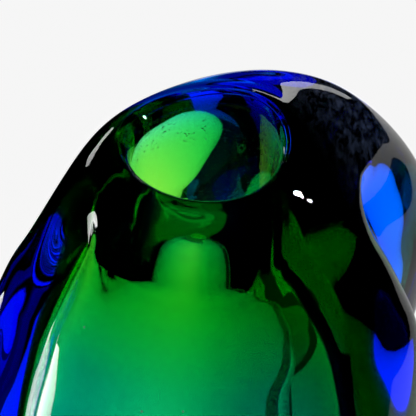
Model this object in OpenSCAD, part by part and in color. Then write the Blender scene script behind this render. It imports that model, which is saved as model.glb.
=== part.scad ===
// Hand blown glass vase: a green inner vessel, a cobalt overlay and a clear casing, all in millimetres.
// The base stands on z = 0, and the mouth's axis is the Z axis.

/* [Overall size] */
// Height from the base to the lowest part of the rim
height = 200; // [180:1:240]
// Depth of the widest part of the body below the rim
belly_drop = 81; // [72:1:97]
// Radius of the body where it turns in to the base
foot_radius = 31.5; // [28:0.5:40]
// Radius of the flat ground face it stands on
base_radius = 26; // [20:0.5:27.5]

/* [Mouth] */
// Radius of the straight bore
bore_radius = 14.8; // [12:0.1:18]
// Depth at which the straight bore starts to open into the cavity
bore_depth = 25; // [22:0.5:32]
// Depth of the lip's rounding below the crest of the rim
lip_depth = 3.6; // [2:0.1:5]
// How far the collar stands out beyond the green vessel's neck
collar_margin = 0.7; // [0.5:0.1:4]
// Depth of the collar below the rim
collar_drop = 4.6; // [3.8:0.1:8]

/* [Shoulder] */
// How far the shoulder stays inside the radius of the belly
shoulder_inset = 9.1; // [6:0.1:10]
// Depth of the shoulder below the rim
shoulder_drop = 34.5; // [28:0.5:42]
// Direction of the high shoulder, from the front and positive to the right
swell_azimuth = 133; // [90:1:180]
// How far the high shoulder stands out, as a share of the local radius
swell = 0.48; // [0:0.01:0.5]
// How far the rim rises over the high shoulder
rim_lift = 4.8; // [0:0.1:7]
// Shift of the body to the right of the mouth's axis
lean_right = 3.1; // [0:0.1:4]
// Shift of the body behind the mouth's axis
lean_back = 2.6; // [0:0.1:4]

/* [Grooves between the lobes] */
// Directions of the front left, right and back left grooves
groove_azimuth = [-60, 93, -152]; // [-180:1:180]
// Depths of the grooves, as shares of the local radius
groove_depth = [0.18, 0.28, 0.39]; // [0:0.01:0.4]
// Half widths of the grooves in degrees
groove_width = [15, 16, 46]; // [10:1:50]
// Depths below the rim at which the grooves are fully pressed in
groove_start = [18, 18, 32]; // [12:1:40]
// Flatness of the grooves' floors
groove_flatness = [1.7, 1.7, 3]; // [1.5:0.1:4]
// Share of each groove's depth that is lost on the way down to the belly
groove_relief = [0, 0, 0.5]; // [0:0.05:0.8]

/* [Glass layers] */
// Radius of the cavity at its widest
cavity_radius = 27; // [22:0.2:33]
// Length over which the bore opens into the cavity
cavity_shoulder = 17.4; // [16:0.2:24]
// Height of the cavity's floor above the base
cavity_floor = 38; // [32:1:50]
// Wall of the green vessel where it meets the rim
core_rim_wall = 1.3; // [1:0.1:1.8]
// Wall of the green vessel in its thick neck
core_neck_wall = 9; // [7:0.1:11]
// Depth of the green vessel's neck below the rim
core_neck_drop = 20; // [17:0.5:24]
// Length over which the green vessel's neck opens to its belly
core_shoulder = 26.5; // [25:0.5:34]
// Wall of the green vessel round the belly of the cavity
core_wall = 3.5; // [2.5:0.1:4.5]
// Green glass under the cavity's floor
core_floor = 14; // [8:0.5:15]
// Wall of the cobalt overlay where it meets the rim
overlay_rim_wall = 0.8; // [0.6:0.1:1]
// Wall of the cobalt overlay at the crown of a lobe
overlay_wall = 20.6; // [17:0.1:25]
// How far the overlay is thinned at the front and back, where the casing is thick
overlay_flatness = 0.27; // [0:0.01:0.3]
// Cobalt glass under the green vessel
overlay_floor = 10; // [5:0.5:12]
// Width of the clear glass from the overlay to the crest of the rim
casing_rim_wall = 0.4; // [0.3:0.1:0.6]
// Wall of the clear casing at the collar
casing_collar_wall = 3.2; // [2.2:0.1:3.4]
// Wall of the clear casing round the body
casing_wall = 1.5; // [1:0.1:2]
// Clearance that keeps two fused layers from overlapping
seam = 0.05; // [0.02:0.01:0.1]

/* [Hidden] */
sides = 60;
steps = 2;
round_steps = 96;
swell_power = 3.3;
swell_end = 72;
opening_power = 1.65;
foot_turn = 4;
foot_drop = height - foot_turn;
cavity_drop = height - cavity_floor;
core_drop = cavity_drop + core_floor;
overlay_drop = core_drop + overlay_floor;
core_top_radius = bore_radius + core_rim_wall;
overlay_top_radius = core_top_radius + overlay_rim_wall;
rim_radius = overlay_top_radius + casing_rim_wall;
lip_width = rim_radius - bore_radius;
core_neck_radius = bore_radius + core_neck_wall;
core_radius = cavity_radius + core_wall;
collar_radius = core_neck_radius + collar_margin;
belly_radius = core_radius + overlay_wall + casing_wall;
shoulder_radius = belly_radius - shoulder_inset;
casing_follow = 1;
overlay_follow = 1;
core_follow = 0.15;

// ---- curves: every point is [radius, depth below the rim] ----

function mix(from, to, share) = from + (to - from) * share;
function smooth(from, to, value) =
    let (share = min(max((value - from) / (to - from), 0), 1)) share * share * (3 - 2 * share);

// The smooth curve that passes through a list of points, with count steps between two of them.
function knot(a, b) = sqrt(norm(b - a));
function blend(a, b, start, end, at) = ((end - at) * a + (at - start) * b) / (end - start);
function curve_point(p0, p1, p2, p3, share) =
    let (
        t1 = knot(p0, p1),
        t2 = t1 + knot(p1, p2),
        t3 = t2 + knot(p2, p3),
        at = mix(t1, t2, share),
        a1 = blend(p0, p1, 0, t1, at),
        a2 = blend(p1, p2, t1, t2, at),
        a3 = blend(p2, p3, t2, t3, at)
    ) blend(blend(a1, a2, 0, t2, at), blend(a2, a3, t1, t3, at), t1, t2, at);
function smooth_curve(points, count) =
    let (last = len(points) - 1) concat(
        [for (i = [0:last - 1], step = [0:count - 1]) curve_point(
            i > 0 ? points[i - 1] : 2 * points[0] - points[1],
            points[i],
            points[i + 1],
            i + 2 > last ? 2 * points[last] - points[last - 1] : points[i + 2],
            step / count
        )],
        [points[last]]
    );

// The rounded lip, from the bore's wall at 0 degrees to the crest of the rim at 90.
function lip_angle(radius) = acos((rim_radius - radius) / lip_width);
function lip_point(turn) = [rim_radius - lip_width * cos(turn), lip_depth * (1 - sin(turn))];
function lip_arc(from, to, count) = [for (i = [0:count]) lip_point(mix(from, to, i / count))];
core_lip = concat([[0.9 * bore_radius, 1.3 * lip_depth]], lip_arc(15, lip_angle(core_top_radius), 3));
overlay_lip = lip_arc(lip_angle(core_top_radius), lip_angle(overlay_top_radius), 2);
casing_lip = lip_arc(lip_angle(overlay_top_radius), 90, 2);

// The outside, from the crest of the rim over the collar, shoulder and belly to the ground face.
outside_curve = smooth_curve(concat(
    [[rim_radius, 0]],
    [for (share = [0.25, 0.5, 0.78]) [
        mix(rim_radius, collar_radius, share),
        collar_drop * pow(share, 1.6)
    ]],
    [for (share = [0, 0.13, 0.36, 0.59, 0.78, 1]) [
        mix(collar_radius, shoulder_radius, share),
        mix(collar_drop, shoulder_drop, pow(share, 1.1))
    ]],
    [for (share = [0.2, 0.5, 1]) [
        mix(shoulder_radius, belly_radius, pow(sin(90 * share), 0.85)),
        mix(shoulder_drop, belly_drop, share)
    ]],
    [for (share = [0.2:0.2:1]) [
        mix(belly_radius, foot_radius, pow(share, 2.1)),
        mix(belly_drop, foot_drop, share)
    ]],
    [for (turn = [30, 60]) [
        mix(base_radius, foot_radius, cos(turn)),
        mix(foot_drop, height, sin(turn))
    ]],
    [[base_radius, height]]
), steps);

// A neck that opens to a belly, and the rounded bottom of a layer or of the cavity.
function opened(from, to, drop, start, span) =
    mix(from, to, 1 - exp(-pow(max(drop - start, 0) / span, opening_power)));
function bottom_curve(wide, from_drop, to_drop, fullness) = concat(
    [for (turn = [22, 42, 60, 76]) [wide * pow(cos(turn), fullness), mix(from_drop, to_drop, sin(turn))]],
    [[0.12 * wide, to_drop]]
);

core_belly_drop = core_neck_drop + 2.3 * core_shoulder;
core_curve = smooth_curve(concat(
    [lip_point(lip_angle(core_top_radius))],
    [for (share = [0.13, 0.28, 0.48, 0.7, 1]) [
        mix(core_top_radius, core_neck_radius, sin(90 * pow(share, 1.2))),
        core_neck_drop * share
    ]],
    [for (share = [0.12, 0.27, 0.47, 0.67, 1])
        let (drop = mix(core_neck_drop, core_belly_drop, share))
        [opened(core_neck_radius, core_radius, drop, core_neck_drop, core_shoulder), drop]
    ],
    bottom_curve(core_radius, core_belly_drop, core_drop, 0.9)
), steps);

// The overlay lies a casing's wall inside the outside.
outside_radii = [for (point = outside_curve) [point[1], point[0]]];
function casing_inside(drop) =
    lookup(drop, outside_radii) - mix(casing_collar_wall, casing_wall, smooth(3, 18, drop));
overlay_low_drop = mix(belly_drop, foot_drop, 0.34);
overlay_curve = smooth_curve(concat(
    [lip_point(lip_angle(overlay_top_radius))],
    [for (share = [0.3, 0.65, 1.3]) [casing_inside(collar_drop * share), collar_drop * share]],
    [for (share = [0.25, 0.5, 1])
        let (drop = mix(collar_drop, shoulder_drop, share)) [casing_inside(drop), drop]
    ],
    [for (drop = [mix(shoulder_drop, belly_drop, 0.4), belly_drop, overlay_low_drop])
        [casing_inside(drop), drop]
    ],
    bottom_curve(casing_inside(overlay_low_drop), overlay_low_drop, overlay_drop, 1.05)
), steps);

// The cavity, from the straight bore to its rounded floor.
cavity_belly_drop = bore_depth + 3.4 * cavity_shoulder;
cavity_curve = smooth_curve(concat(
    [for (share = [0, 0.07, 0.14, 0.23, 0.34, 0.5, 0.7, 1])
        let (drop = mix(bore_depth, cavity_belly_drop, share))
        [opened(bore_radius, cavity_radius, drop, bore_depth, cavity_shoulder), drop]
    ],
    bottom_curve(cavity_radius, cavity_belly_drop, cavity_drop, 0.75)
), steps);

// ---- lobed rings ----

function total(values, i = 0) = i < len(values) ? values[i] + total(values, i + 1) : 0;
function turned(angle) = ((angle + 540) % 360) - 180;
function pressed(azimuth, drop) = total([for (i = [0:len(groove_azimuth) - 1])
    groove_depth[i]
    * exp(-pow(abs(turned(azimuth - groove_azimuth[i])) / groove_width[i], groove_flatness[i]))
    * smooth(0, groove_start[i], drop)
    * (1 - groove_relief[i] * smooth(groove_start[i], 2 * groove_start[i], drop))
]) * (1 - 0.8 * smooth(0.75 * height, height, drop));
function swell_share(azimuth) = pow((1 + cos(azimuth - swell_azimuth)) / 2, swell_power);
function swollen(azimuth, drop) =
    swell * swell_share(azimuth) * smooth(0, 8, drop) * (1 - smooth(8, swell_end, drop));
function lifted(azimuth, drop) = rim_lift * swell_share(azimuth) * (1 - smooth(10, 80, drop));
function leaned(drop) = smooth(-8, 45, drop) - smooth(-8, 45, 0);

function flattened(azimuth, drop) = pow(cos(azimuth), 2) * smooth(20, 70, drop);

// A ring of points at one depth. A layer follows the lobes of the outside by its own share.
function ring(point, follow, flat = 0) = [for (i = [0:sides - 1])
    let (
        azimuth = 360 * i / sides - 180,
        drop = point[1],
        shift = leaned(drop) * follow,
        radius = point[0]
            * (1 - pressed(azimuth, drop) * follow)
            * (1 + swollen(azimuth, drop) * follow)
            * (1 - flattened(azimuth, drop) * flat)
    ) [
        lean_right * shift + radius * sin(azimuth),
        lean_back * shift - radius * cos(azimuth),
        height - drop + lifted(azimuth, drop)
    ]
];
function rings(curve, follow, flat = 0) = [for (point = curve) each ring(point, follow, flat)];
function reversed(list) = [for (i = [len(list) - 1:-1:0]) list[i]];
function without_last(list) = [for (i = [0:len(list) - 2]) list[i]];
function without_ends(list) = [for (i = [1:len(list) - 2]) list[i]];
function inset(curve) = [for (point = curve)
    [point[0] - seam, point[1] - seam * smooth(height / 2, height, point[1])]
];

// A closed solid skinned over rings that run from one flat end to the other. Each facet is split along
// the same diagonal whether its rings run up or down, so two layers match face to face at a seam.
module skinned(points) {
    count = len(points) / sides;
    polyhedron(
        points,
        concat(
            [[for (i = [0:sides - 1]) i]],
            [for (row = [0:count - 2], i = [0:sides - 1], half = [0, 1])
                let (
                    a = row * sides + i,
                    b = row * sides + (i + 1) % sides,
                    c = a + sides,
                    d = b + sides,
                    falling = points[a].z > points[c].z
                ) half == 0 ? [a, c, falling ? d : b] : [falling ? a : c, d, b]
            ],
            [[for (i = [sides - 1:-1:0]) (count - 1) * sides + i]]
        )
    );
}

// ---- pieces ----

module clear_casing() {
    color([0.80, 0.86, 0.95, 0.5])
    skinned(concat(
        rings(reversed(outside_curve), casing_follow),
        rings(reversed(without_ends(casing_lip)), 0),
        rings(overlay_curve, overlay_follow, overlay_flatness)
    ));
}

module cobalt_overlay() {
    color([0.02, 0.08, 0.75, 0.7])
    skinned(concat(
        rings(reversed(inset(overlay_curve)), overlay_follow, overlay_flatness),
        rings(reversed(without_ends(overlay_lip)), 0),
        rings(core_curve, core_follow)
    ));
}

module cavity() {
    over_rim = 2 * lip_depth + rim_lift;
    translate([0, 0, height])
    rotate_extrude($fn = round_steps)
    polygon(concat(
        [[0, over_rim], [bore_radius, over_rim]],
        [for (point = cavity_curve) [point[0], -point[1]]],
        [[0, -cavity_drop]]
    ));
}

module emerald_core() {
    color([0.05, 0.60, 0.15, 0.7])
    difference() {
        skinned(concat(
            rings(reversed(inset(core_curve)), core_follow),
            rings(reversed(without_last(core_lip)), 0)
        ));
        cavity();
    }
}

emerald_core();
cobalt_overlay();
clear_casing();
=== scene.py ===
import math

import bpy
import numpy as np
from mathutils import Matrix, Vector


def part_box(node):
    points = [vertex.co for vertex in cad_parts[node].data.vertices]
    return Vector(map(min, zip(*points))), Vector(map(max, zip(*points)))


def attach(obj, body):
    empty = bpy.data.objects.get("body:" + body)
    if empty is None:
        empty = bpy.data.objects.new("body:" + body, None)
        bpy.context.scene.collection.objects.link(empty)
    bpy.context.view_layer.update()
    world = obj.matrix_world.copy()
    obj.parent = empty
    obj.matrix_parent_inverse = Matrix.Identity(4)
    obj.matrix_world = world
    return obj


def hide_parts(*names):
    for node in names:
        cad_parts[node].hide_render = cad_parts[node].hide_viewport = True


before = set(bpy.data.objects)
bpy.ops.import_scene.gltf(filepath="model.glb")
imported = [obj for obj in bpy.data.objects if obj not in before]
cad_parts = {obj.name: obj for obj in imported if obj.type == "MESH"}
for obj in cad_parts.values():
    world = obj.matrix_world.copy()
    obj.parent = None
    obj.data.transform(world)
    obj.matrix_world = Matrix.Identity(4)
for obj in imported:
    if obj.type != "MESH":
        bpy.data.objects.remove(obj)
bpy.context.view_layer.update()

for chosen in list(bpy.context.selected_objects):
    chosen.select_set(False)

MM = 0.001
METRE = 1000

# ---- sizes, in millimetres, the same as the part's ----

HEIGHT = 200.0
FOOT_RADIUS = 31.5
BASE_RADIUS = 26.0
BELLY_DROP = 81.0
BORE_RADIUS = 14.8
BORE_DEPTH = 25.0
LIP_DEPTH = 3.6
COLLAR_MARGIN = 0.7
COLLAR_DROP = 4.6
SHOULDER_INSET = 9.1
SHOULDER_DROP = 34.5
SWELL_AZIMUTH = 133.0
SWELL = 0.48
RIM_LIFT = 4.8
LEAN_RIGHT = 3.1
LEAN_BACK = 2.6
GROOVES = (
    # azimuth, depth, half width, start, flatness, relief
    (-60.0, 0.18, 15.0, 18.0, 1.7, 0.0),
    (93.0, 0.28, 16.0, 18.0, 1.7, 0.0),
    (-152.0, 0.39, 46.0, 32.0, 3.0, 0.5),
)
CAVITY_RADIUS = 27.0
CAVITY_SHOULDER = 17.4
CAVITY_FLOOR = 38.0
CORE_RIM_WALL = 1.3
CORE_NECK_WALL = 9.0
CORE_NECK_DROP = 20.0
CORE_SHOULDER = 26.5
CORE_WALL = 3.5
CORE_FLOOR = 14.0
OVERLAY_RIM_WALL = 0.8
OVERLAY_WALL = 20.6
OVERLAY_FLATNESS = 0.27
OVERLAY_FLOOR = 10.0
CASING_RIM_WALL = 0.4
CASING_COLLAR_WALL = 3.2
CASING_WALL = 1.5
SEAM = 0.05

SWELL_POWER = 3.3
SWELL_END = 72.0
OPENING_POWER = 1.65
CORE_FOLLOW = 0.15
SIDES = 240
STEPS = 6
MERGE_DISTANCE = 0.000002
BATCH = 4000

FOOT_DROP = HEIGHT - 4
CAVITY_DROP = HEIGHT - CAVITY_FLOOR
CORE_DROP = CAVITY_DROP + CORE_FLOOR
OVERLAY_DROP = CORE_DROP + OVERLAY_FLOOR
CORE_TOP_RADIUS = BORE_RADIUS + CORE_RIM_WALL
OVERLAY_TOP_RADIUS = CORE_TOP_RADIUS + OVERLAY_RIM_WALL
RIM_RADIUS = OVERLAY_TOP_RADIUS + CASING_RIM_WALL
LIP_WIDTH = RIM_RADIUS - BORE_RADIUS
CORE_NECK_RADIUS = BORE_RADIUS + CORE_NECK_WALL
CORE_RADIUS = CAVITY_RADIUS + CORE_WALL
COLLAR_RADIUS = CORE_NECK_RADIUS + COLLAR_MARGIN
BELLY_RADIUS = CORE_RADIUS + OVERLAY_WALL + CASING_WALL
SHOULDER_RADIUS = BELLY_RADIUS - SHOULDER_INSET


# ---- curves: every point is (radius, depth below the rim) ----


def mix(start, end, share):
    return start + (end - start) * share


def smooth(start, end, value):
    share = np.clip((value - start) / (end - start), 0, 1)
    return share * share * (3 - 2 * share)


def turn_sin(degrees):
    return math.sin(math.radians(degrees))


def turn_cos(degrees):
    return math.cos(math.radians(degrees))


def smooth_curve(points, count):
    """The smooth curve through a list of points, with count steps between two of them."""
    points = [np.array(point, float) for point in points]
    last = len(points) - 1
    curve = []
    for i in range(last):
        p0 = points[i - 1] if i > 0 else 2 * points[0] - points[1]
        p1, p2 = points[i], points[i + 1]
        p3 = points[i + 2] if i + 2 <= last else 2 * points[last] - points[last - 1]
        t1 = math.sqrt(np.linalg.norm(p1 - p0))
        t2 = t1 + math.sqrt(np.linalg.norm(p2 - p1))
        t3 = t2 + math.sqrt(np.linalg.norm(p3 - p2))
        for step in range(count):
            at = mix(t1, t2, step / count)

            def blend(a, b, start, end):
                return ((end - at) * a + (at - start) * b) / (end - start)

            a1, a2, a3 = blend(p0, p1, 0, t1), blend(p1, p2, t1, t2), blend(p2, p3, t2, t3)
            curve.append(blend(blend(a1, a2, 0, t2), blend(a2, a3, t1, t3), t1, t2))
    curve.append(points[last])
    return [(float(radius), float(drop)) for radius, drop in curve]


def lip_angle(radius):
    return math.degrees(math.acos((RIM_RADIUS - radius) / LIP_WIDTH))


def lip_point(turn):
    return (RIM_RADIUS - LIP_WIDTH * turn_cos(turn), LIP_DEPTH * (1 - turn_sin(turn)))


def lip_arc(start, end, count):
    return [lip_point(mix(start, end, i / count)) for i in range(count + 1)]


def opened(start, end, drop, from_drop, span):
    return mix(start, end, 1 - math.exp(-((max(drop - from_drop, 0) / span) ** OPENING_POWER)))


def bottom_curve(wide, from_drop, to_drop, fullness):
    return [
        (wide * turn_cos(turn) ** fullness, mix(from_drop, to_drop, turn_sin(turn)))
        for turn in (22, 42, 60, 76)
    ] + [(0.12 * wide, to_drop)]


outside_curve = smooth_curve(
    [(RIM_RADIUS, 0)]
    + [
        (mix(RIM_RADIUS, COLLAR_RADIUS, share), COLLAR_DROP * share**1.6)
        for share in (0.25, 0.5, 0.78)
    ]
    + [
        (mix(COLLAR_RADIUS, SHOULDER_RADIUS, share), mix(COLLAR_DROP, SHOULDER_DROP, share**1.1))
        for share in (0, 0.13, 0.36, 0.59, 0.78, 1)
    ]
    + [
        (
            mix(SHOULDER_RADIUS, BELLY_RADIUS, turn_sin(90 * share) ** 0.85),
            mix(SHOULDER_DROP, BELLY_DROP, share),
        )
        for share in (0.2, 0.5, 1)
    ]
    + [
        (mix(BELLY_RADIUS, FOOT_RADIUS, share**2.1), mix(BELLY_DROP, FOOT_DROP, share))
        for share in (0.2, 0.4, 0.6, 0.8, 1)
    ]
    + [
        (mix(BASE_RADIUS, FOOT_RADIUS, turn_cos(turn)), mix(FOOT_DROP, HEIGHT, turn_sin(turn)))
        for turn in (30, 60)
    ]
    + [(BASE_RADIUS, HEIGHT)],
    STEPS,
)

core_belly_drop = CORE_NECK_DROP + 2.3 * CORE_SHOULDER
core_curve = smooth_curve(
    [lip_point(lip_angle(CORE_TOP_RADIUS))]
    + [
        (
            mix(CORE_TOP_RADIUS, CORE_NECK_RADIUS, turn_sin(90 * share**1.2)),
            CORE_NECK_DROP * share,
        )
        for share in (0.13, 0.28, 0.48, 0.7, 1)
    ]
    + [
        (opened(CORE_NECK_RADIUS, CORE_RADIUS, drop, CORE_NECK_DROP, CORE_SHOULDER), drop)
        for drop in (
            mix(CORE_NECK_DROP, core_belly_drop, share) for share in (0.12, 0.27, 0.47, 0.67, 1)
        )
    ]
    + bottom_curve(CORE_RADIUS, core_belly_drop, CORE_DROP, 0.9),
    STEPS,
)


def casing_inside(drop):
    radii, drops = zip(*outside_curve)
    wall = mix(CASING_COLLAR_WALL, CASING_WALL, float(smooth(3, 18, drop)))
    return float(np.interp(drop, drops, radii)) - wall


overlay_low_drop = mix(BELLY_DROP, FOOT_DROP, 0.34)
overlay_curve = smooth_curve(
    [lip_point(lip_angle(OVERLAY_TOP_RADIUS))]
    + [(casing_inside(COLLAR_DROP * share), COLLAR_DROP * share) for share in (0.3, 0.65, 1.3)]
    + [
        (casing_inside(drop), drop)
        for drop in (mix(COLLAR_DROP, SHOULDER_DROP, share) for share in (0.25, 0.5, 1))
    ]
    + [
        (casing_inside(drop), drop)
        for drop in (mix(SHOULDER_DROP, BELLY_DROP, 0.4), BELLY_DROP, overlay_low_drop)
    ]
    + bottom_curve(casing_inside(overlay_low_drop), overlay_low_drop, OVERLAY_DROP, 1.05),
    STEPS,
)

cavity_belly_drop = BORE_DEPTH + 3.4 * CAVITY_SHOULDER
cavity_curve = [
    (BORE_RADIUS, mix(LIP_DEPTH, BORE_DEPTH, i / 10)) for i in range(10)
] + smooth_curve(
    [
        (opened(BORE_RADIUS, CAVITY_RADIUS, drop, BORE_DEPTH, CAVITY_SHOULDER), drop)
        for drop in (
            mix(BORE_DEPTH, cavity_belly_drop, share)
            for share in (0, 0.07, 0.14, 0.23, 0.34, 0.5, 0.7, 1)
        )
    ]
    + bottom_curve(CAVITY_RADIUS, cavity_belly_drop, CAVITY_DROP, 0.75),
    STEPS,
)

core_lip = lip_arc(0, lip_angle(CORE_TOP_RADIUS), 10)
overlay_lip = lip_arc(lip_angle(CORE_TOP_RADIUS), lip_angle(OVERLAY_TOP_RADIUS), 5)
casing_lip = lip_arc(lip_angle(OVERLAY_TOP_RADIUS), 90, 5)


# ---- the pressed lobes ----


def press_lobes(radius, drop, azimuth, follow, flat=0):
    """Where a turned point goes once the lobes are pressed in, in millimetres."""
    pressed = 0
    for at, depth, width, start, flatness, relief in GROOVES:
        off = np.abs((azimuth - at + 540) % 360 - 180) / width
        shape = depth * np.exp(-(off**flatness)) * smooth(0, start, drop)
        pressed = pressed + shape * (1 - relief * smooth(start, 2 * start, drop))
    pressed = pressed * (1 - 0.8 * smooth(0.75 * HEIGHT, HEIGHT, drop)) * follow
    swell_share = ((1 + np.cos(np.radians(azimuth - SWELL_AZIMUTH))) / 2) ** SWELL_POWER
    swollen = SWELL * swell_share * smooth(0, 8, drop) * (1 - smooth(8, SWELL_END, drop)) * follow
    lifted = RIM_LIFT * swell_share * (1 - smooth(10, 80, drop))
    shift = (smooth(-8, 45, drop) - smooth(-8, 45, 0)) * follow
    flattened = flat * np.cos(np.radians(azimuth)) ** 2 * smooth(20, 70, drop)
    radius = radius * (1 - pressed) * (1 + swollen) * (1 - flattened)
    return np.stack(
        [
            LEAN_RIGHT * shift + radius * np.sin(np.radians(azimuth)),
            LEAN_BACK * shift - radius * np.cos(np.radians(azimuth)),
            HEIGHT - drop + lifted,
        ],
        axis=1,
    )


def active(name):
    piece = bpy.context.active_object
    piece.name = name
    piece.data.name = name
    return piece


def blown_layer(name, profile):
    """A closed layer of glass: its section is drawn as a chain of edges, spun round the mouth's
    axis, and pressed into lobes. A profile point is (radius, drop, follow, fused, flat). Each
    point of the spun mesh takes its values from the nearest point of the profile, in batches."""
    profile = np.array(profile, float)
    places = np.stack([profile[:, 0], 0 * profile[:, 0], HEIGHT - profile[:, 1]], axis=1) * MM
    bpy.ops.object.select_all(action="DESELECT")
    bpy.ops.mesh.primitive_plane_add(size=MM, location=tuple(places[0]))
    piece = active(name)
    bpy.ops.object.transform_apply(location=True, rotation=True, scale=True)
    bpy.ops.object.mode_set(mode="EDIT")
    bpy.ops.mesh.select_mode(type="VERT")
    bpy.ops.mesh.select_all(action="SELECT")
    bpy.ops.mesh.merge(type="CENTER")
    for step in np.diff(places, axis=0):
        bpy.ops.mesh.extrude_region_move(TRANSFORM_OT_translate={"value": tuple(step)})
    bpy.ops.mesh.select_all(action="SELECT")
    bpy.ops.mesh.spin(steps=SIDES, angle=2 * math.pi, center=(0, 0, 0), axis=(0, 0, 1))
    bpy.ops.mesh.select_all(action="SELECT")
    bpy.ops.mesh.remove_doubles(threshold=MERGE_DISTANCE)
    bpy.ops.mesh.select_all(action="DESELECT")
    bpy.ops.mesh.select_non_manifold()
    bpy.ops.mesh.edge_face_add()
    bpy.ops.mesh.select_all(action="SELECT")
    bpy.ops.mesh.normals_make_consistent(inside=False)
    bpy.ops.object.mode_set(mode="OBJECT")
    bpy.ops.object.shade_smooth()
    mesh = piece.data
    places = np.zeros(len(mesh.vertices) * 3, np.float32)
    mesh.vertices.foreach_get("co", places)
    x, y, z = places.reshape(-1, 3).T.astype(float) * METRE
    turned = np.stack([np.hypot(x, y), HEIGHT - z], axis=1)
    azimuth = np.degrees(np.arctan2(x, -y))
    on = np.empty(len(turned), int)
    for start in range(0, len(turned), BATCH):
        part = turned[start:start + BATCH]
        away = ((part[:, None, :] - profile[None, :, :2]) ** 2).sum(axis=2)
        on[start:start + BATCH] = away.argmin(axis=1)
    radius, drop, follow, fused, flat = profile[on].T
    moved = press_lobes(radius, drop, azimuth, follow, flat) * MM
    mesh.vertices.foreach_set("co", moved.astype(np.float32).ravel())
    marks = mesh.attributes.new("fused", "FLOAT", "FACE")
    for face in mesh.polygons:
        marks.data[face.index].value = float(min(fused[v] for v in face.vertices))
    mesh.update()
    return piece


def chain(*runs):
    """Joins runs of (curve, follow, fused, gap, flat) into one profile."""
    profile = []
    for curve, follow, fused, gap, flat in runs:
        for radius, drop in curve:
            fall = gap * float(smooth(HEIGHT / 2, HEIGHT, drop))
            profile.append((radius - gap, drop - fall, follow, fused, flat))
    return profile


casing = blown_layer(
    "casing_glass",
    chain(
        (outside_curve[::-1], 1, 0, 0, 0),
        (casing_lip[::-1][1:-1], 0, 0, 0, 0),
        (overlay_curve, 1, 1, 0, OVERLAY_FLATNESS),
    ),
)
overlay = blown_layer(
    "overlay_glass",
    chain(
        (overlay_curve[::-1], 1, 1, SEAM, OVERLAY_FLATNESS),
        (overlay_lip[::-1][1:-1], 0, 0, 0, 0),
        (core_curve, CORE_FOLLOW, 1, 0, 0),
    ),
)
core = blown_layer(
    "core_glass",
    chain(
        (core_curve[::-1], CORE_FOLLOW, 1, SEAM, 0),
        (core_lip[::-1][1:-1], 0, 0, 0, 0),
        (cavity_curve, 0, 0, 0, 0),
    ),
)


# ---- glass ----

GLASS_INDEX = 1.5

class Wire:
    """A node's output, or a number, that can be used in sums."""

    def __init__(self, kit, socket):
        self.kit = kit
        self.socket = socket

    def maths(self, operation, *values):
        node = self.kit.node("ShaderNodeMath", {"operation": operation}, dict(enumerate(values)))
        return Wire(self.kit, node.outputs[0])

    def __add__(self, other):
        return self.maths("ADD", self, other)

    __radd__ = __add__

    def __mul__(self, other):
        return self.maths("MULTIPLY", self, other)

    __rmul__ = __mul__

    def __sub__(self, other):
        return self.maths("SUBTRACT", self, other)

    def __rsub__(self, other):
        return self.maths("SUBTRACT", other, self)

    def __gt__(self, other):
        return self.maths("GREATER_THAN", self, other)

    def __lt__(self, other):
        return self.maths("LESS_THAN", self, other)


class Kit:
    """The nodes of one material."""

    def __init__(self, name):
        self.material = bpy.data.materials.new(name)
        self.material.use_nodes = True
        self.tree = self.material.node_tree
        self.tree.nodes.clear()

    def node(self, kind, settings=None, values=None):
        node = self.tree.nodes.new(kind)
        for key, value in (settings or {}).items():
            setattr(node, key, value)
        for key, value in (values or {}).items():
            if isinstance(value, Wire):
                self.tree.links.new(value.socket, node.inputs[key])
            elif isinstance(value, bpy.types.NodeSocket):
                self.tree.links.new(value, node.inputs[key])
            else:
                node.inputs[key].default_value = value
        return node

    def wire(self, kind, output, settings=None, values=None):
        return Wire(self, self.node(kind, settings, values).outputs[output])

    def place(self, scale):
        where = self.node("ShaderNodeTexCoord").outputs["Object"]
        return self.wire("ShaderNodeMapping", "Vector", {}, {"Vector": where, "Scale": scale})

    def ramp(self, value, start, end):
        return self.wire(
            "ShaderNodeMapRange", "Result", {"interpolation_type": "SMOOTHSTEP"},
            {"Value": value, "From Min": start, "From Max": end},
        )

    def noise(self, where, scale, detail=2.0, rough=0.5, twist=0.0):
        return self.wire(
            "ShaderNodeTexNoise", "Fac", {},
            {"Vector": where, "Scale": scale, "Detail": detail, "Roughness": rough, "Distortion": twist},
        )


def layer_glass(name, lost_per_mm, waviness, flaws=()):
    """Glass that takes lost_per_mm of red, green and blue light on the way through. Faces fused
    to the next layer let light straight through. A flaw is (mask, colour, roughness)."""
    kit = Kit(name)
    density = max(lost_per_mm) * METRE * 1.0001
    tint = [1 - lost * METRE / density for lost in lost_per_mm]
    volume = kit.node("ShaderNodeVolumeAbsorption", {}, {"Color": (*tint, 1), "Density": density})
    ripple = kit.noise(kit.place((1, 1, 0.45)), 55, 1.5) * waviness
    bump = kit.wire(
        "ShaderNodeBump", "Normal", {}, {"Height": ripple, "Strength": 1.0, "Distance": MM}
    )
    surface = kit.node(
        "ShaderNodeBsdfGlass", {}, {"IOR": GLASS_INDEX, "Roughness": 0.0, "Normal": bump}
    )
    for mask, colour, roughness in flaws:
        flaw = kit.node(
            "ShaderNodeBsdfPrincipled", {}, {"Base Color": colour, "Roughness": roughness}
        )
        surface = kit.node(
            "ShaderNodeMixShader", {}, {0: mask(kit), 1: surface.outputs[0], 2: flaw.outputs[0]}
        )
    clear = kit.node("ShaderNodeBsdfTransparent")
    fused = kit.node("ShaderNodeAttribute", {"attribute_name": "fused"}).outputs["Fac"]
    surface = kit.node("ShaderNodeMixShader", {}, {0: fused, 1: surface.outputs[0], 2: clear.outputs[0]})
    kit.node(
        "ShaderNodeOutputMaterial", {},
        {"Surface": surface.outputs[0], "Volume": volume.outputs[0]},
    )
    return kit.material


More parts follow.
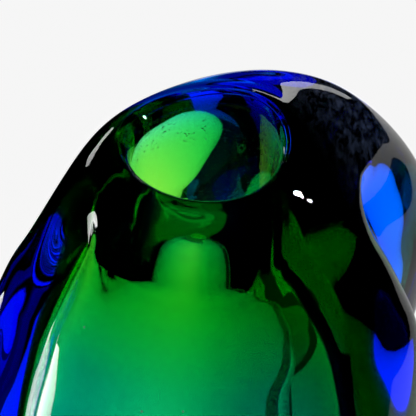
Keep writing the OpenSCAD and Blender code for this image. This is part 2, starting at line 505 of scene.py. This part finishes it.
def dust(kit):
    """Sparse specks of dust on the outside."""
    cells = kit.node("ShaderNodeTexVoronoi", {}, {"Vector": kit.place((1, 1, 1)), "Scale": 240})
    near = Wire(kit, cells.outputs["Distance"])
    pick = kit.wire("ShaderNodeSeparateColor", "Red", {}, {"Color": cells.outputs["Color"]})
    return (0.06 > near) * (pick > 0.9) * 0.6


def scuffs(kit):
    """A faint brushed film on the crown of the high shoulder."""
    parts = kit.node("ShaderNodeSeparateXYZ", {}, {"Vector": kit.place((1, 1, 1)).socket})
    x, y, z = (Wire(kit, parts.outputs[axis]) for axis in "XYZ")
    crown = kit.ramp((x * 0.75 + y * 0.55 - 0.017) * 60, 0, 1) * kit.ramp((z - 0.187) * 110, 0, 1)
    streaks = kit.noise(kit.place((260, 90, 1)), 3.0, 5.0, 0.7, 0.4)
    return crown * kit.ramp(streaks, 0.42, 0.72) * 0.34


def bore_specks(kit):
    """Small dark inclusions in a band under the lip, at the back of the bore."""
    parts = kit.node("ShaderNodeSeparateXYZ", {}, {"Vector": kit.place((1, 1, 1)).socket})
    y, z = (Wire(kit, parts.outputs[axis]) for axis in "YZ")
    band = kit.ramp((z - 0.1905) * 500, 0, 1) * kit.ramp((0.1975 - z) * 500, 0, 1) * (y > 0.002)
    grains = kit.noise(kit.place((1, 1, 1.6)), 950, 2.0, 0.6)
    return band * (grains > 0.63) * 0.85


casing.data.materials.append(
    layer_glass(
        "clear_casing_glass", (0.004, 0.003, 0.001), 0.16,
        (
            (scuffs, (0.16, 0.24, 0.5, 1), 0.35),
            (dust, (0.62, 0.68, 0.75, 1), 0.6),
        ),
    )
)
overlay.data.materials.append(layer_glass("cobalt_overlay_glass", (0.34, 0.055, 0.003), 0.0))
core.data.materials.append(
    layer_glass(
        "emerald_core_glass", (0.11, 0.045, 0.34), 0.05,
        ((bore_specks, (0.004, 0.012, 0.006, 1), 0.5),),
    )
)

for piece, node, finish in (
    (casing, "clear_casing", "clear_glass"),
    (overlay, "cobalt_overlay", "cobalt_glass"),
    (core, "emerald_core", "emerald_glass"),
):
    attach(piece, "root")
    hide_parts(node)


# ---- floor, light and camera ----


def glow(name, strength):
    kit = Kit(name)
    light = kit.node("ShaderNodeEmission", {}, {"Color": (1, 1, 1, 1), "Strength": strength})
    kit.node("ShaderNodeOutputMaterial", {}, {"Surface": light.outputs[0]})
    return kit.material


def sheet(name, x0, x1, y0, y1, z, material):
    bpy.ops.object.select_all(action="DESELECT")
    bpy.ops.mesh.primitive_plane_add(size=1, location=((x0 + x1) / 2, (y0 + y1) / 2, z))
    piece = active(name)
    piece.scale = (x1 - x0, y1 - y0, 1)
    bpy.ops.object.transform_apply(location=True, rotation=True, scale=True)
    piece.data.materials.append(material)
    return piece


def hide_from(piece, *rays):
    for ray in rays:
        setattr(piece, "visible_" + ray, False)


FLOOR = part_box("clear_casing")[0].z
TABLE_LIGHT = 0.45
THROUGH_LIGHT = 1.6
FLOOR_LIGHT = 0.92
WALL_LIGHT = 0.75
WALL_RADIUS = 1.2
WALL_HEIGHT = 0.7
WORLD_LIGHT = 0.14

# The polish mirrors the tabletop, the glass refracts the through paper and the paper wall, and
# the camera sees the surround.
tabletop = sheet("tabletop", -0.05, 0.6, -0.03, 0.6, FLOOR, glow("lit_paper", TABLE_LIGHT))
hide_from(tabletop, "camera", "transmission")
through = sheet(
    "through", -0.7, 0.7, -0.03, 0.7, FLOOR - 0.0002, glow("through_paper", THROUGH_LIGHT)
)
hide_from(through, "camera", "glossy")
surround = sheet("surround", -3, 3, -3, 3, FLOOR - 0.0005, glow("pale_floor", FLOOR_LIGHT))
hide_from(surround, "glossy", "transmission", "diffuse", "shadow")

bpy.ops.object.select_all(action="DESELECT")
bpy.ops.mesh.primitive_cylinder_add(
    vertices=64, radius=WALL_RADIUS, depth=WALL_HEIGHT, end_fill_type="NOTHING",
    location=(0, 0, FLOOR + WALL_HEIGHT / 2),
)
paper_wall = active("paper_wall")
bpy.ops.object.transform_apply(location=True, rotation=True, scale=True)
paper_wall.data.materials.append(glow("paper_wall_light", WALL_LIGHT))
hide_from(paper_wall, "camera", "glossy", "diffuse", "shadow")

world = bpy.data.worlds.new("studio")
bpy.context.scene.world = world
world.use_nodes = True
world.node_tree.nodes["Background"].inputs["Color"].default_value = (1, 1, 1, 1)
world.node_tree.nodes["Background"].inputs["Strength"].default_value = WORLD_LIGHT
world.cycles_visibility.glossy = False


def softbox(name, towards, distance, width, height, power, aim=(0, 0, 0.19)):
    lamp = bpy.data.lights.new(name, "AREA")
    lamp.shape = "RECTANGLE"
    lamp.size = width
    lamp.size_y = height
    lamp.energy = power
    piece = bpy.data.objects.new(name, lamp)
    bpy.context.scene.collection.objects.link(piece)
    away = Vector(towards).normalized()
    piece.location = Vector(aim) + away * distance
    piece.rotation_euler = away.to_track_quat("Z", "Y").to_euler()
    return piece


softbox("key", (0.63, 0.20, 0.75), 1.2, 0.04, 0.045, 3)


def card(name, x0, x1, y0, y1, z, strength):
    """A lit card on the table that only the polished surface mirrors."""
    piece = sheet(name, x0, x1, y0, y1, z, glow(name + "_light", strength))
    hide_from(piece, "camera", "transmission", "diffuse", "shadow")
    return piece


def wall_card(name, centre, width, height, strength):
    """An upright card behind the vase that only the polished surface mirrors."""
    piece = card(name, -width / 2, width / 2, -height / 2, height / 2, 0, strength)
    facing = Vector((centre[0], centre[1], 0)).to_track_quat("Z", "Y")
    piece.data.transform(Matrix.Translation(centre) @ facing.to_matrix().to_4x4())
    return piece


card("left_card", -0.34, -0.13, 0.02, 0.20, FLOOR + 0.0002, 4.5)
wall_card("collar_card", (-0.36, 0.48, 0.225), 0.26, 0.06, 3.0)
wall_card("fan_card", (0.10, 0.58, 0.235), 0.16, 0.05, 1.6)

ELEVATION = math.radians(38)
DISTANCE = 0.50
ROLL = math.radians(4.3)
SENSOR_WIDTH = 36
# The view's width at the mouth, and how far left and above its centre the mouth's centre lies.
VIEW_WIDTH = 0.0832
MOUTH_LEFT = 0.0006
MOUTH_ABOVE = 0.0116
forward = Vector((0, math.cos(ELEVATION), -math.sin(ELEVATION)))
level = Vector((1, 0, 0))
upward = level.cross(forward)
right = level * math.cos(ROLL) + upward * math.sin(ROLL)
above = upward * math.cos(ROLL) - level * math.sin(ROLL)
mouth = Vector((0, 0, HEIGHT * MM))
spot = mouth - forward * DISTANCE + right * MOUTH_LEFT - above * MOUTH_ABOVE
camera = bpy.data.cameras.new("camera")
camera.sensor_width = SENSOR_WIDTH
camera.lens = SENSOR_WIDTH * DISTANCE / VIEW_WIDTH
camera.clip_start = 0.01
stand = bpy.data.objects.new("camera", camera)
bpy.context.scene.collection.objects.link(stand)
stand.matrix_world = Matrix(
    (
        (right.x, above.x, -forward.x, spot.x),
        (right.y, above.y, -forward.y, spot.y),
        (right.z, above.z, -forward.z, spot.z),
        (0, 0, 0, 1),
    )
)
scene = bpy.context.scene
scene.camera = stand
scene.cycles.max_bounces = 32
scene.cycles.transmission_bounces = 32
scene.cycles.glossy_bounces = 12
scene.cycles.transparent_max_bounces = 64
scene.cycles.use_denoising = True
scene.view_settings.view_transform = "Standard"
